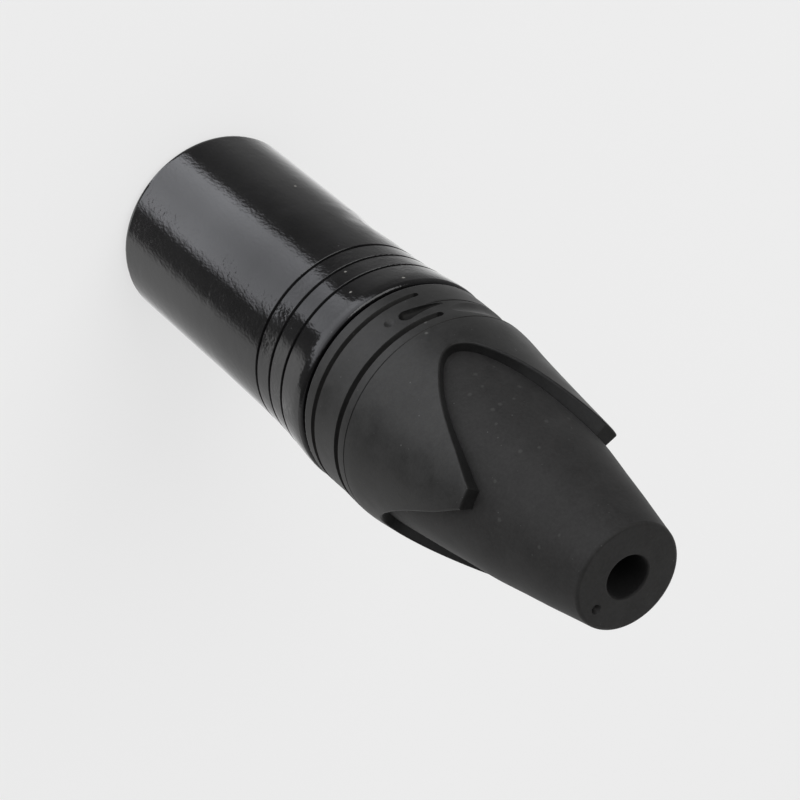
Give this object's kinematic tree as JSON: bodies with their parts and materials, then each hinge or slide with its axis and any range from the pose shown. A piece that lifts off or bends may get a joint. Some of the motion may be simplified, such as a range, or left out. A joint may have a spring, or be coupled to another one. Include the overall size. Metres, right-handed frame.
{
  "type": "male xlr cable plug",
  "caption": "Male XLR audio cable plug with a glossy black metal shell, round contacts in a keyed cavity, and a screw-on boot with a soft tapered sleeve.",
  "frame": {"origin": "centre of the front rim of the mating end, on the plane of the rim, which is also the middle of the bounding box's bottom", "axes": "+Z along the axis from the mating end to the cable end; -Y is the keyed side; +X completes the frame"},
  "size_m": [0.0212, 0.0212, 0.0705],
  "materials": {
    "shell_black": "glossy black finish on a zinc die casting, with a faint orange peel",
    "insert_plastic": "moulded black plastic",
    "contact_metal": "silver-plated brass, slightly satin",
    "spring_metal": "tinned bronze strip",
    "chuck_plastic": "moulded black plastic",
    "boot_plastic": "matte moulded dark grey-black plastic",
    "sleeve_rubber": "matte soft rubber with light dust"
  },
  "bodies": {
    "shell_body": {"shell": "shell_black", "contact_insert": "insert_plastic", "contact_pin_1": "contact_metal", "contact_pin_2": "contact_metal", "contact_pin_3": "contact_metal", "earth_spring": "spring_metal"},
    "chuck_body": {"strain_relief_chuck": "chuck_plastic"},
    "boot_body": {"boot_shell": "boot_plastic", "boot_sleeve": "sleeve_rubber"}
  },
  "joints": [
    {"name": "boot_travel", "type": "slide", "parent": "shell_body", "child": "chuck_body", "axis": [0, 0, 1], "range_m": [0, 0.005]},
    {"name": "boot_turn", "type": "hinge", "parent": "chuck_body", "child": "boot_body", "pos_m": [0, 0, 0.04], "axis": [0, 0, 1], "range_deg": [0, 1800]}
  ],
  "couplings": [
    {"joint": "boot_turn", "follows": "boot_travel", "rad_per_m": 6283.2}
  ]
}
